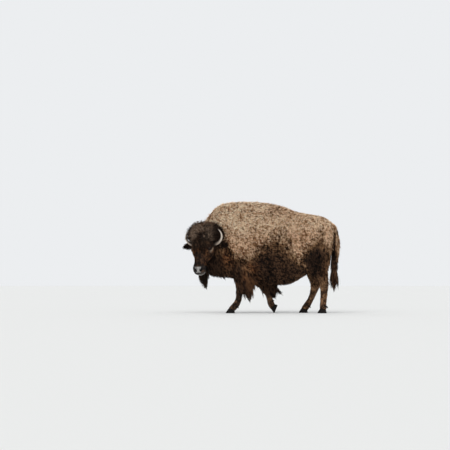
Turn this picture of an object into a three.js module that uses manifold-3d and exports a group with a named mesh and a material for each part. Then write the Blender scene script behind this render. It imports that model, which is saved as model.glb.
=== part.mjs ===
// A life-size American bison cow in her winter coat, standing in mid-step with her head turned to her left.
// Millimetres, +Z up. She faces -X and her left side is -Y. Every piece is one closed, faceted solid, and
// neighbours keep a thin gap. The sizes are taken over the coat, so the outline is that of the living animal.
import * as THREE from 'three';
import { mergeVertices } from 'three/addons/utils/BufferGeometryUtils.js';
import Module from 'manifold-3d';

const wasm = await Module();
wasm.setup();

const LEFT = -1; // the sign of Y on each side of the animal
const RIGHT = 1;
const vec = (x, y, z) => new THREE.Vector3(x, y, z);

// ---------------------------------------------------------------- driving dimensions

const GAP = 0.4; // what each piece stands clear of the one it was cut from

// How she carries her head: the point midway between her eyes, and the turn, roll and slope of the face.
const EYE_POINT = vec(-872, -290, 940);
const HEAD_TURN = THREE.MathUtils.degToRad(66); // from straight ahead towards her left
const HEAD_ROLL = THREE.MathUtils.degToRad(1.5); // her left horn carried higher
const HEAD_PITCH = THREE.MathUtils.degToRad(66); // of the face below level

// Places on the head: down the face from the eyes, across to one side, and out of the forehead.
const EYE = { down: 18, across: 139, out: 8, radius: 21 };
const NOSTRIL = { down: 330, across: 50, out: -14, size: [13, 9, 19], slant: 0.5 };
const MOUTH = { front: 330, corner: 235, back: 90, out: -72 };

const EAR_WALL = 13; // the ear's own thickness with the fur on both sides
const EAR_DROOP = 0.04; // of its tip, as a share of its length
const FETLOCK = { deep: 50, thick: 45 }; // half sizes, fore and aft and across
const CLEFT = 3; // half the space between the two claws of a foot
const HOOF_HEIGHT = { toe: 68, heel: 46 };
const CHAPS_MIDDLE = 172; // from the median plane
const NECK_CUT = -585; // where the neck is parted from the trunk

// ---------------------------------------------------------------- materials

const material = (color, roughness) => new THREE.MeshStandardMaterial({ color, roughness, metalness: 0 });
const COAT = material(0x7a5a3c, 0.95); // woolly body coat
const DARK_COAT = material(0x35241a, 0.95); // head, legs and belly
const LONG_HAIR = material(0x2a1c14, 0.9); // bonnet, beard, chaps and tail tuft
const HORN = material(0x8d857a, 0.4);
const HOOF = material(0x1d1916, 0.5);
const EYEBALL = material(0x140c08, 0.1);

// ---------------------------------------------------------------- solids from rings and sections

// A closed geometry through rings of equal length, each end closed by a fan to its middle.
function loft(rings) {
  const count = rings[0].length;
  const points = rings.flat();
  const middle = (ring) => ring.reduce((sum, p) => sum.add(p), vec(0, 0, 0)).divideScalar(count);
  const first = points.push(middle(rings[0])) - 1;
  const last = points.push(middle(rings.at(-1))) - 1;
  const index = [];
  for (let i = 0; i < rings.length - 1; i++) {
    for (let j = 0; j < count; j++) {
      const a = i * count + j;
      const b = i * count + ((j + 1) % count);
      index.push(a, b, b + count, a, b + count, a + count);
    }
  }
  const end = (rings.length - 1) * count;
  for (let j = 0; j < count; j++) {
    const next = (j + 1) % count;
    index.push(first, next, j, last, end + j, end + next);
  }
  return new THREE.BufferGeometry().setFromPoints(points).setIndex(index);
}

// A geometry as a manifold-3d solid, turned to face outwards if its rings ran the other way.
function solid(geometry) {
  const bare = geometry.clone().deleteAttribute('normal').deleteAttribute('uv');
  const merged = mergeVertices(bare, 1e-3);
  const vertProperties = merged.getAttribute('position').array;
  let triVerts = new Uint32Array(merged.index.array);
  let made = new wasm.Manifold(new wasm.Mesh({ numProp: 3, vertProperties, triVerts }));
  if (made.volume() < 0) {
    triVerts = triVerts.reverse();
    made = new wasm.Manifold(new wasm.Mesh({ numProp: 3, vertProperties, triVerts }));
  }
  return made;
}

// The largest separate body of a solid, so that a cut leaves no crumbs.
function largest(made) {
  return made.decompose().reduce((best, body) => (body.volume() > best.volume() ? body : best));
}

const without = (made, ...others) => others.reduce((rest, other) => rest.subtract(other), made);

const pieces = new THREE.Group();

function piece(name, made, look) {
  const { vertProperties, triVerts } = largest(made).getMesh();
  const geometry = new THREE.BufferGeometry();
  geometry.setAttribute('position', new THREE.BufferAttribute(vertProperties, 3));
  geometry.setIndex(new THREE.BufferAttribute(triVerts, 1));
  geometry.computeVertexNormals();
  const mesh = new THREE.Mesh(geometry, look);
  mesh.name = name;
  pieces.add(mesh);
}

// One smooth curve through the stations' values, so that several of them can be read at the same place.
const track = (stations, value) => new THREE.CatmullRomCurve3(stations.map(value), false, 'catmullrom', 0.5);

// cos and sin of an angle round a superellipse: power 2 is an ellipse, more is squarer, less is sharper.
const bulge = (value, power) => Math.sign(value) * Math.abs(value) ** (2 / power);

// -1 at the start of a path and 1 at its end, where growing a solid also lengthens it.
const endSign = (t) => (t === 1 ? 1 : 0) - (t === 0 ? 1 : 0);

const angles = (count) => Array.from({ length: count }, (_, j) => (j / count) * 2 * Math.PI);
const steps = (count) => Array.from({ length: count + 1 }, (_, i) => i / count);

// Upright sections along a level path. half is the half width where the section is widest, at height wide.
function barrel(stations, { around, rings, grow = 0 }) {
  const path = track(stations, (s) => vec(s.x, s.y ?? 0, s.wide));
  const reach = track(stations, (s) => vec(s.top, s.belly, s.half));
  const powers = track(stations, (s) => vec(s.crest ?? 2, s.keel ?? 2, 0));
  return loft(
    steps(rings).map((t) => {
      const at = path.getPoint(t);
      const along = path.getTangent(t).setZ(0).normalize();
      const side = vec(-along.y, along.x, 0);
      const { x: top, y: belly, z: half } = reach.getPoint(t);
      const { x: crest, y: keel } = powers.getPoint(t);
      at.addScaledVector(along, grow * endSign(t));
      return angles(around).map((angle) => {
        const up = Math.sin(angle) >= 0;
        const power = up ? crest : keel;
        const out = (half + grow) * bulge(Math.cos(angle), power);
        const rise = (up ? top - at.z + grow : at.z - belly + grow) * bulge(Math.sin(angle), power);
        return at.clone().addScaledVector(side, out).setZ(at.z + rise);
      });
    }),
  );
}

// Sections square to a path, such as a leg's or a horn's: deep is the half size fore and aft, thick across.
function limb(stations, { around, rings, power = 2.1, grow = 0, across = vec(0, 1, 0) }) {
  const path = track(stations, (s) => s.at);
  const sizes = track(stations, (s) => vec(s.deep, s.thick ?? s.deep, 0));
  return loft(
    steps(rings).map((t) => {
      const at = path.getPoint(t);
      const along = path.getTangent(t).normalize();
      const side = across.clone().addScaledVector(along, -across.dot(along)).normalize();
      const fore = side.clone().cross(along);
      const { x: deep, y: thick } = sizes.getPoint(t);
      at.addScaledVector(along, grow * endSign(t));
      return angles(around).map((angle) =>
        at
          .clone()
          .addScaledVector(fore, (deep + grow) * bulge(Math.cos(angle), power))
          .addScaledVector(side, (thick + grow) * bulge(Math.sin(angle), power)),
      );
    }),
  );
}

// A slab that covers everything on one side of a plane.
function halfSpace(point, normal) {
  const size = 4000;
  const slab = new THREE.BoxGeometry(size, size, size);
  slab.translate(0, 0, size / 2);
  slab.applyQuaternion(new THREE.Quaternion().setFromUnitVectors(vec(0, 0, 1), normal.clone().normalize()));
  slab.translate(point.x, point.y, point.z);
  return solid(slab);
}

// Both sides of a thin cut through a solid, the side that the normal points to first.
function parted(made, point, normal) {
  const step = normal.clone().normalize().multiplyScalar(GAP / 2);
  const ahead = halfSpace(point.clone().add(step), normal);
  const behind = halfSpace(point.clone().sub(step), normal.clone().negate());
  return [made.intersect(ahead), made.intersect(behind)];
}

// ---------------------------------------------------------------- head frame

// The head has its own axes, from the point midway between the eyes: x runs down the face to the muzzle,
// y to the animal's right, and z out of the forehead.
const ahead = vec(-Math.cos(HEAD_TURN), -Math.sin(HEAD_TURN), 0);
const rightward = ahead.clone().cross(vec(0, 0, 1)).applyAxisAngle(ahead, HEAD_ROLL);
const upward = rightward.clone().cross(ahead);
const down = ahead.clone().multiplyScalar(Math.cos(HEAD_PITCH)).addScaledVector(upward, -Math.sin(HEAD_PITCH));
const out = rightward.clone().cross(down);
const headAxes = new THREE.Matrix4().makeBasis(down, rightward.clone().negate(), out).setPosition(EYE_POINT);
const onHead = (x, y, z) => vec(x, -y, z).applyMatrix4(headAxes);
// A place beside the head by its level distances: across to the animal's side, up, and forward of the eyes.
const besideHead = (side, across, up, forward) =>
  EYE_POINT.clone()
    .addScaledVector(rightward, side * across)
    .addScaledVector(ahead, forward)
    .addScaledVector(upward, up);

const FACE = [
  { x: -252, half: 60, top: 20, belly: -90 },
  { x: -225, half: 126, top: 62, belly: -150 },
  { x: -150, half: 160, top: 94, belly: -205 },
  { x: -60, half: 167, top: 94, belly: -228, crest: 2.3 },
  { x: 10, half: 162, top: 78, belly: -222, crest: 2.5 }, // eyes
  { x: 76, half: 138, top: 62, belly: -198, crest: 2.4 },
  { x: 150, half: 110, top: 48, belly: -160, crest: 2.3, keel: 2.2 },
  { x: 220, half: 92, top: 40, belly: -132, crest: 2.2, keel: 2.3 },
  { x: 285, half: 96, top: 32, belly: -120, crest: 2.3, keel: 2.3 },
  { x: 330, half: 98, top: 4, belly: -122, crest: 2.3, keel: 2.3 }, // nostrils
  { x: 364, half: 84, top: -32, belly: -118, crest: 2.2, keel: 2.2 },
  { x: 386, half: 50, top: -60, belly: -100 },
].map((s) => ({ ...s, wide: (s.top + s.belly) / 2 + 10 }));

const face = (grow = 0) => solid(barrel(FACE, { around: 16, rings: 14, grow }).applyMatrix4(headAxes));

// ---------------------------------------------------------------- trunk and neck

const TORSO = [
  { x: 1038, wide: 1130, top: 1190, belly: 1070, half: 38 }, // rump
  { x: 1026, wide: 1118, top: 1292, belly: 950, half: 104 },
  { x: 992, wide: 1090, top: 1366, belly: 830, half: 168, crest: 2.1, keel: 2.1 }, // pin bones
  { x: 920, wide: 1055, top: 1406, belly: 710, half: 226, crest: 2.1, keel: 2.2 },
  { x: 815, wide: 1010, top: 1432, belly: 640, half: 262, crest: 2.1, keel: 2.2 }, // hips
  { x: 690, wide: 960, top: 1454, belly: 580, half: 292, crest: 2.1, keel: 2.2 },
  { x: 560, wide: 905, top: 1477, belly: 497, half: 320, crest: 2.05, keel: 2.2 }, // flank
  { x: 460, wide: 870, top: 1500, belly: 445, half: 334, crest: 2, keel: 2.2 },
  { x: 370, wide: 850, top: 1542, belly: 419, half: 341, crest: 1.9, keel: 2.2 }, // end of the hump
  { x: 280, wide: 838, top: 1577, belly: 410, half: 343, crest: 1.84, keel: 2.2 },
  { x: 150, wide: 836, top: 1605, belly: 420, half: 340, crest: 1.78, keel: 2.2 },
  { x: 0, wide: 846, top: 1628, belly: 442, half: 331, crest: 1.74, keel: 2.1 },
  { x: -140, wide: 866, top: 1640, belly: 472, half: 318, crest: 1.72, keel: 2 }, // hump
  { x: -290, wide: 894, top: 1642, belly: 494, half: 303, crest: 1.72, keel: 2 },
  { x: -430, wide: 925, top: 1638, belly: 512, half: 282, crest: 1.74, keel: 1.95 },
  { x: -540, wide: 950, top: 1622, belly: 522, half: 256, crest: 1.76, keel: 1.95 },
  { x: -640, y: -8, wide: 972, top: 1580, belly: 526, half: 230, crest: 1.8, keel: 1.9 }, // neck
  { x: -715, y: -34, wide: 985, top: 1500, belly: 530, half: 206, crest: 1.85, keel: 1.9 },
  { x: -768, y: -80, wide: 985, top: 1382, belly: 546, half: 182, crest: 1.9, keel: 1.95 },
  { x: -808, y: -138, wide: 980, top: 1292, belly: 610, half: 156 },
  { x: -832, y: -192, wide: 975, top: 1225, belly: 700, half: 124 },
  { x: -846, y: -236, wide: 970, top: 1130, belly: 820, half: 74 },
];

const torso = (grow = 0) => solid(barrel(TORSO, { around: 18, rings: 22, grow }));

// ---------------------------------------------------------------- legs and feet

// A foot's own axes: x forward to the toe, z up, from the middle of the sole. toeDown turns it about its sides.
function footAxes({ x, y, z = 0, toeDown = 0 }) {
  const turned = new THREE.Matrix4().makeRotationY(-THREE.MathUtils.degToRad(toeDown));
  const facing = new THREE.Matrix4().makeRotationZ(Math.PI);
  return new THREE.Matrix4().makeTranslation(x, y, z).multiply(turned).multiply(facing);
}

// The pastern, from the fetlock down into the two claws. lean is its share of how far the foot steps forward.
const PASTERN = [
  { lean: 1, up: 94, deep: 50, thick: 44 },
  { lean: 0.38, up: 66, deep: 50, thick: 46 },
  { lean: 0.12, up: 50, deep: 46, thick: 44 },
  { lean: 0, up: 38, deep: 40, thick: 38 },
];

const row = (x, y, z, deep, thick) => ({ at: vec(x, y, z), deep, thick });

const LEGS = {
  left_fore: {
    side: LEFT,
    rows: [
      [-292, 172, 800, 90, 62],
      [-298, 177, 755, 132, 94],
      [-306, 180, 670, 134, 100],
      [-316, 176, 580, 114, 88],
      [-318, 168, 490, 86, 70],
      [-315, 161, 425, 68, 58],
      [-317, 158, 378, 61, 54], // knee
      [-322, 156, 330, 54, 46],
      [-332, 154, 255, 47, 38],
      [-341, 153, 195, 48, 38],
    ],
    fetlock: [-366, 153, 142],
    foot: { x: -450, y: 153, lean: 46 },
    knee: 340,
  },
  right_fore: {
    side: RIGHT,
    rows: [
      [-224, 170, 800, 90, 62],
      [-208, 175, 755, 130, 94],
      [-168, 176, 670, 130, 98],
      [-112, 170, 585, 112, 86],
      [-50, 162, 505, 86, 70],
      [0, 156, 440, 68, 58],
      [38, 152, 388, 62, 54], // knee
      [62, 150, 340, 54, 46],
      [92, 148, 272, 45, 38],
      [112, 147, 215, 45, 38],
    ],
    fetlock: [127, 147, 160],
    foot: { x: 212, y: 147, z: 63, toeDown: 68, lean: 32 },
    knee: 348,
  },
  left_hind: {
    side: LEFT,
    rows: [
      [840, 120, 1240, 80, 40],
      [838, 138, 1190, 155, 82],
      [828, 155, 1085, 194, 112],
      [812, 165, 955, 210, 124],
      [800, 167, 840, 215, 122],
      [797, 163, 745, 208, 110],
      [815, 157, 655, 178, 96],
      [842, 151, 575, 138, 78],
      [874, 147, 505, 104, 60], // hock
      [897, 145, 455, 84, 52],
      [906, 144, 395, 67, 46],
      [904, 143, 300, 55, 39],
      [896, 142, 205, 50, 38],
    ],
    fetlock: [890, 142, 140],
    foot: { x: 884, y: 142, lean: 8 },
    knee: 440,
  },
  right_hind: {
    side: RIGHT,
    rows: [
      [840, 120, 1240, 80, 40],
      [838, 138, 1190, 155, 82],
      [822, 155, 1085, 194, 112],
      [797, 165, 955, 208, 124],
      [774, 167, 840, 205, 122],
      [756, 163, 745, 186, 110],
      [752, 157, 655, 148, 96],
      [766, 151, 575, 112, 78],
      [786, 147, 500, 90, 60],
      [792, 145, 425, 78, 52], // hock
      [774, 144, 345, 60, 46],
      [746, 143, 262, 47, 39],
      [715, 142, 195, 44, 38],
    ],
    fetlock: [688, 142, 142],
    foot: { x: 620, y: 142, lean: 32 },
    knee: 400,
  },
};

// One claw of a cloven foot, by rings from the sole up to the coronet. inner is the side next to its twin.
function claw(axes, inner, grow = 0) {
  const levels = [
    { rise: 0, toe: 78, heel: 52, half: 26 },
    { rise: 0.16, toe: 76, heel: 56, half: 27.5 },
    { rise: 1, toe: 38, heel: 49, half: 24 },
  ];
  const rings = levels.map(({ rise, toe, heel, half }) =>
    angles(8).map((angle) => {
      const forward = Math.cos(angle);
      const x = forward > 0 ? forward * (toe + grow) : forward * (heel + grow);
      const narrow = 1 - 0.35 * Math.max(0, forward) ** 2;
      const outward = (half + grow) * bulge(Math.sin(angle), 2.3) * narrow;
      const y = -inner * (half + CLEFT + outward - 6 * Math.max(0, forward) ** 3);
      const height = HOOF_HEIGHT.heel + (HOOF_HEIGHT.toe - HOOF_HEIGHT.heel) * (0.5 + 0.5 * forward);
      return vec(x, y, rise * height + (rise > 0.5 ? grow : 0) - (rise === 0 ? grow : 0)).applyMatrix4(axes);
    }),
  );
  return solid(loft(rings));
}

// The small dewclaws behind the fetlock.
function dewclaw(axes, lean, across, grow = 0) {
  const path = [
    [16, across, 112, 14],
    [42, across * 1.1, 100, 15],
    [60, across * 1.15, 84, 11],
    [66, across * 1.15, 72, 4],
  ];
  const stations = path.map(([x, y, z, deep]) => ({ at: vec(-lean - x, y, z).applyMatrix4(axes), deep }));
  return solid(limb(stations, { around: 5, rings: 2, grow }));
}

const legSolids = {};
const floor = halfSpace(vec(0, 0, 0), vec(0, 0, -1));

for (const [name, { side, rows, fetlock, foot, knee }] of Object.entries(LEGS)) {
  const axes = footAxes({ ...foot, y: side * foot.y });
  const step = (share, up) => vec(-share * foot.lean, 0, up).applyMatrix4(axes);
  const stations = [
    ...rows.map(([x, y, z, deep, thick]) => row(x, side * y, z, deep, thick)),
    row(fetlock[0], side * fetlock[1], fetlock[2], FETLOCK.deep, FETLOCK.thick),
    ...PASTERN.map(({ lean, up, deep, thick }) => ({ at: step(lean, up), deep, thick })),
  ];
  const shape = { around: 8, rings: 14 };
  const claws = { outer: -side, inner: side }; // which way each claw's twin lies, in the foot's turned axes
  const dews = { outer: side * -27, inner: side * 27 };
  let leg = solid(limb(stations, shape));
  for (const [place, twin] of Object.entries(claws)) {
    leg = leg.subtract(claw(axes, -twin, GAP));
    piece(`${name}_claw_${place}`, claw(axes, -twin).subtract(floor), HOOF);
  }
  for (const [place, across] of Object.entries(dews)) {
    piece(`${name}_dewclaw_${place}`, dewclaw(axes, foot.lean, across).subtract(leg), HOOF);
    leg = leg.subtract(dewclaw(axes, foot.lean, across, GAP));
  }
  legSolids[name] = { whole: solid(limb(stations, { ...shape, grow: GAP })), leg, knee, side };
}

for (const [name, { leg, knee }] of Object.entries(legSolids)) {
  const [upper, lower] = parted(leg, vec(0, 0, knee), vec(0, 0, 1));
  piece(`${name}leg_upper`, upper, DARK_COAT);
  piece(`${name}leg_lower`, lower, DARK_COAT);
}
const legHollows = Object.values(legSolids).map(({ whole }) => whole);

// ---------------------------------------------------------------- horns, ears and eyes

// Each row: across, up and forward of the eyes, and the radius.
const HORN_CURVE = [
  [112, 56, -104, 27],
  [152, 56, -100, 27],
  [200, 66, -92, 25],
  [250, 93, -84, 21.5],
  [284, 140, -76, 17.5],
  [288, 194, -72, 13.5],
  [264, 242, -72, 9.5],
  [228, 278, -75, 4],
];
const horn = (side, grow = 0) =>
  solid(
    limb(
      HORN_CURVE.map(([across, up, forward, deep]) => ({ at: besideHead(side, across, up, forward), deep })),
      { around: 8, rings: 10, grow, across: ahead },
    ),
  );

// Each row: distance along the ear from its root, its half width, and how deep its cup is there.
const EAR = [
  { along: -22, half: 18, cup: 2 },
  { along: 10, half: 30, cup: 9 },
  { along: 46, half: 45, cup: 15 },
  { along: 88, half: 54, cup: 16 },
  { along: 130, half: 50, cup: 13 },
  { along: 162, half: 35, cup: 8 },
  { along: 182, half: 11, cup: 3 },
];

function ear(side, grow = 0) {
  const root = besideHead(side, 156, 54, -140);
  const along = rightward.clone().multiplyScalar(side * 0.95).addScaledVector(ahead, 0.12);
  along.addScaledVector(upward, -EAR_DROOP).normalize();
  const open = ahead.clone().multiplyScalar(0.86).addScaledVector(upward, -0.35).normalize();
  open.addScaledVector(along, -open.dot(along)).normalize();
  const wide = along.clone().cross(open);
  const points = 6;
  const rings = EAR.map(({ along: distance, half, cup }, i) => {
    const end = (i === EAR.length - 1 ? 1 : 0) - (i === 0 ? 1 : 0);
    const middle = root.clone().addScaledVector(along, distance + end * grow);
    const arc = (depth, spread) =>
      Array.from({ length: points }, (_, k) => {
        const angle = (k / (points - 1)) * Math.PI;
        return middle
          .clone()
          .addScaledVector(wide, Math.cos(angle) * spread)
          .addScaledVector(open, -Math.sin(angle) * depth);
      });
    const back = arc(cup + EAR_WALL + grow, half + grow);
    const front = arc(cup - grow, half - 4).reverse();
    return [...back, ...front.map((p) => p.addScaledVector(open, grow))];
  });
  return solid(loft(rings));
}

const eye = (side, grow = 0) => {
  const ball = new THREE.IcosahedronGeometry(EYE.radius + grow, 1);
  const at = onHead(EYE.down, side * EYE.across, EYE.out);
  return solid(ball.translate(at.x, at.y, at.z));
};

// A nostril, a slanting comma-shaped pit at each side of the nose pad.
function nostril(side) {
  const pit = new THREE.SphereGeometry(1, 6, 4);
  pit.scale(...NOSTRIL.size);
  pit.rotateX(side * -NOSTRIL.slant);
  const at = onHead(NOSTRIL.down, side * NOSTRIL.across, NOSTRIL.out);
  return solid(pit.rotateZ(side * NOSTRIL.slant).applyMatrix4(headAxes.clone().setPosition(at)));
}

// ---------------------------------------------------------------- hair masses

// The bonnet: a woolly dome over the brow and between the horns, fullest in front and swept back behind them.
const BONNET = { across: 308, rise: 195, fall: 186, forward: 134, back: 165, sweep: 62 };
const BONNET_MIDDLE = { up: 196, forward: -96 };

function bonnet(grow = 0) {
  const dome = new THREE.SphereGeometry(1, 13, 9);
  const places = dome.getAttribute('position');
  const middle = besideHead(LEFT, 0, BONNET_MIDDLE.up, BONNET_MIDDLE.forward);
  for (let i = 0; i < places.count; i++) {
    const p = vec(0, 0, 0).fromBufferAttribute(places, i);
    const square = 1 / (Math.abs(p.x) ** 2.2 + Math.abs(p.y) ** 2.2 + Math.abs(p.z) ** 2.2) ** (1 / 2.2);
    const up = p.y * (square * (p.y > 0 ? BONNET.rise : BONNET.fall) + grow);
    const depth = square * (p.z > 0 ? BONNET.forward : BONNET.back) + grow;
    const forward = p.z * depth - BONNET.sweep * p.x ** 2;
    const narrow = 1 - 0.34 * Math.max(0, -p.y); // drawn in towards the brow
    const at = middle
      .clone()
      .addScaledVector(rightward, p.x * (square * BONNET.across * narrow + grow))
      .addScaledVector(ahead, forward)
      .addScaledVector(upward, up);
    places.setXYZ(i, at.x, at.y, at.z);
  }
  return solid(dome);
}

// A hanging lock of hair: across and deep are its half sizes at each station.
const lock = (rows, options = {}) =>
  solid(limb(rows.map(([at, deep, thick]) => ({ at, deep, thick })), { around: 8, rings: 8, ...options }));

function beard(grow = 0) {
  const at = (up, forward, across = 0) => besideHead(LEFT, across, up, forward);
  return lock(
    [
      [at(-232, -62), 62, 60],
      [at(-300, -46), 76, 76],
      [at(-365, -34), 78, 78],
      [at(-420, -36), 62, 72],
      [at(-464, -44), 46, 60],
      [at(-505, -60, 4), 28, 33],
      [at(-545, -80, 8), 15, 16],
      [at(-580, -100, 14), 4, 4],
    ],
    { across: rightward, grow },
  );
}

// Chaps: the long hair of the forearm, hanging behind it in a fringe of pointed locks.
const CHAPS = {
  left_fore: {
    side: LEFT,
    mass: [
      [-268, 700, 172, 96],
      [-256, 640, 200, 118],
      [-246, 560, 196, 122],
      [-240, 470, 180, 112],
      [-238, 385, 152, 98],
      [-246, 310, 118, 82],
      [-254, 262, 84, 62],
    ],
    locks: [
      { from: [-130, 560], to: [-80, 400], deep: 46 },
      { from: [-150, 480], to: [-106, 300], deep: 48 },
      { from: [-180, 410], to: [-130, 230], deep: 48 },
      { from: [-215, 360], to: [-174, 180], deep: 48 },
      { from: [-262, 340], to: [-246, 205], deep: 46 },
      { from: [-300, 340], to: [-302, 228], deep: 40 },
    ],
  },
  right_fore: {
    side: RIGHT,
    mass: [
      [-128, 700, 150, 96],
      [-80, 645, 176, 116],
      [-20, 570, 180, 118],
      [42, 490, 168, 106],
      [86, 415, 136, 92],
      [116, 350, 100, 76],
      [132, 305, 70, 56],
    ],
    locks: [
      { from: [110, 520], to: [264, 438], deep: 44 },
      { from: [120, 470], to: [284, 396], deep: 46 },
      { from: [125, 425], to: [262, 324], deep: 44 },
      { from: [128, 390], to: [288, 280], deep: 46 },
      { from: [115, 340], to: [186, 240], deep: 42 },
    ],
  },
};
function chaps({ side, mass, locks }) {
  const y = side * CHAPS_MIDDLE;
  const stations = mass.map(([x, z, deep, thick]) => row(x, y, z, deep, thick));
  let hair = solid(limb(stations, { around: 10, rings: 6, power: 2.2 }));
  for (const { from, to, deep } of locks) {
    const start = vec(from[0], y, from[1]);
    const tip = vec(to[0], y, to[1]);
    hair = hair.add(
      lock(
        [
          [start, deep, 74],
          [start.clone().lerp(tip, 0.5), deep * 0.72, 52],
          [tip, 4, 8],
        ],
        { around: 5, rings: 2 },
      ),
    );
  }
  return hair;
}

// ---------------------------------------------------------------- tail

const TAIL = [
  [978, 1316, 32, 36],
  [1018, 1300, 38, 40],
  [1056, 1247, 41, 41],
  [1074, 1173, 49, 40],
  [1086, 1063, 54, 40],
  [1079, 938, 53, 38],
  [1063, 800, 51, 36],
  [1056, 700, 51, 36],
];
const TUFT = [
  [1057, 720, 55, 42],
  [1055, 640, 59, 46],
  [1053, 560, 58, 48],
  [1052, 480, 52, 44],
  [1054, 420, 40, 36],
  [1056, 366, 22, 20],
  [1057, 338, 5, 5],
];
const TUFT_LOCKS = [
  { from: [1076, 560], to: [1112, 366] },
  { from: [1040, 520], to: [1014, 372] },
];
const tailRows = (rows) => rows.map(([x, z, deep, thick]) => row(x, 0, z, deep, thick));
const tail = (grow = 0) => solid(limb(tailRows(TAIL), { around: 8, rings: 9, grow }));

function tuft() {
  let hair = solid(limb(tailRows(TUFT), { around: 7, rings: 6 }));
  for (const { from, to } of TUFT_LOCKS) {
    const start = vec(from[0], 0, from[1]);
    const tip = vec(to[0], 0, to[1]);
    const rows = [[start, 34, 30], [start.clone().lerp(tip, 0.5), 25, 22], [tip, 4, 4]];
    hair = hair.add(lock(rows, { around: 5, rings: 2 }));
  }
  return hair;
}

// ---------------------------------------------------------------- parting the whole

const [neckEnd, trunkEnd] = parted(torso(), vec(NECK_CUT, 0, 0), vec(-1, 0, 0));
const sides = { left: LEFT, right: RIGHT };
const horns = Object.values(sides).map((side) => horn(side, GAP));
const ears = Object.values(sides).map((side) => ear(side, GAP));
const eyes = Object.values(sides).map((side) => eye(side, GAP));
const nostrils = Object.values(sides).map(nostril);

const skull = without(face(), ...horns, ...ears, ...eyes, ...nostrils);
const lips = onHead(MOUTH.front, 0, MOUTH.out);
const mouthNormal = onHead(MOUTH.corner, 0, MOUTH.out).sub(lips).cross(rightward).normalize();
const jawBack = halfSpace(onHead(MOUTH.back, 0, 0), down);
const [upperFace, lowerFace] = parted(skull, lips, mouthNormal);
piece('lower_jaw', lowerFace.intersect(jawBack), DARK_COAT);
const jawRoom = halfSpace(onHead(MOUTH.back - GAP, 0, 0), down);
piece('head', upperFace.add(skull.subtract(jawRoom)), DARK_COAT);

for (const [name, side] of Object.entries(sides)) {
  piece(`${name}_horn`, horn(side), HORN);
  piece(`${name}_ear`, ear(side).subtract(horn(side, GAP)), LONG_HAIR);
  piece(`${name}_eye`, eye(side), EYEBALL);
}
piece('bonnet', without(bonnet(), face(GAP), ...horns, ...ears), LONG_HAIR);
piece('beard', without(beard(), face(GAP)), LONG_HAIR);
piece('neck', without(neckEnd, face(GAP), bonnet(GAP), beard(GAP), ...ears, ...horns), DARK_COAT);
piece('trunk', without(trunkEnd, ...legHollows, bonnet(GAP), ...ears, tail(GAP)), COAT);
piece('tail', tail(), COAT);
piece('tail_tuft', tuft().subtract(tail(GAP)), LONG_HAIR);
for (const [name, sizes] of Object.entries(CHAPS)) {
  piece(`${name}_chaps`, without(chaps(sizes), torso(GAP), legSolids[name].whole), LONG_HAIR);
}

// The origin is on the floor, under the middle of the animal's box.
const box = new THREE.Box3().setFromObject(pieces);
const middle = box.getCenter(vec(0, 0, 0));
pieces.position.set(-middle.x, -middle.y, -box.min.z);
const bison = new THREE.Group();
bison.add(pieces);
export default bison;
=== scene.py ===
"""A life-size still model of an American bison cow in winter coat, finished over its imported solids."""
import math

import bmesh
import bpy
import numpy as np
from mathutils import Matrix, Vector
from mathutils.bvhtree import BVHTree
from mathutils.kdtree import KDTree


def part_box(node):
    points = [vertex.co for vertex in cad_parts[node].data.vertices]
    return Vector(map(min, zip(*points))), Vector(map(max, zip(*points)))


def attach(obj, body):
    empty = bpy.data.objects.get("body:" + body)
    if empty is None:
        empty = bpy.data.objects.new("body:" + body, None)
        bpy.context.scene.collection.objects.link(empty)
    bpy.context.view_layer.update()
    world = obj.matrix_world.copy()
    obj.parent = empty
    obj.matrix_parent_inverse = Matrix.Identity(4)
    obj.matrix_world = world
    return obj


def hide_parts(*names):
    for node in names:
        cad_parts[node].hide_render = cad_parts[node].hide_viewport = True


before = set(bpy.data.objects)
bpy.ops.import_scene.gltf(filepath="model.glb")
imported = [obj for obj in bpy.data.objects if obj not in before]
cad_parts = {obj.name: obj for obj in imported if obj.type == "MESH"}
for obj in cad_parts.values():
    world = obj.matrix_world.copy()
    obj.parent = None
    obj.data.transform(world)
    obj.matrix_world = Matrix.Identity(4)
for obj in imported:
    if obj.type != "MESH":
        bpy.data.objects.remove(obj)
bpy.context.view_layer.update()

# ---------------------------------------------------------------- camera

# A long lens, well back and low, looks square at her left side. It points a little up and to the left of
# her, so she stands in the lower right of the frame with open ground in front of her.
VIEW_DISTANCE = 20.05
VIEW_HEIGHT = 0.45
LENS = 109.4  # in mm, for the sensor below
SENSOR_WIDTH = 36
SIGHT = 500  # sees past the far edge of the floor
TURNED_LEFT = math.radians(1.551)
TIPPED_UP = math.radians(2.397)

lens = bpy.data.cameras.new("camera")
lens.lens = LENS
lens.sensor_width = SENSOR_WIDTH
lens.clip_end = SIGHT
camera = bpy.data.objects.new("camera", lens)
camera.location = (0, -VIEW_DISTANCE, VIEW_HEIGHT)
camera.rotation_euler = (math.pi / 2 + TIPPED_UP, 0, TURNED_LEFT)
bpy.context.scene.collection.objects.link(camera)
bpy.context.scene.camera = camera
bpy.context.scene.view_settings.view_transform = "Standard"

# ---------------------------------------------------------------- skin

# The hide of the whole animal in one piece, from the nose to the end of the tail, with the flesh of the head,
# neck, trunk and legs under it. On the mount it is a tanned skin drawn over a modelled body, so it has no
# seam: the solids of the flesh are fused, smoothed and drawn in by the depth of the coat.
VOXEL = 0.010
OVERLAP = 0.0007  # closes the thin cuts between the solids
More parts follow.
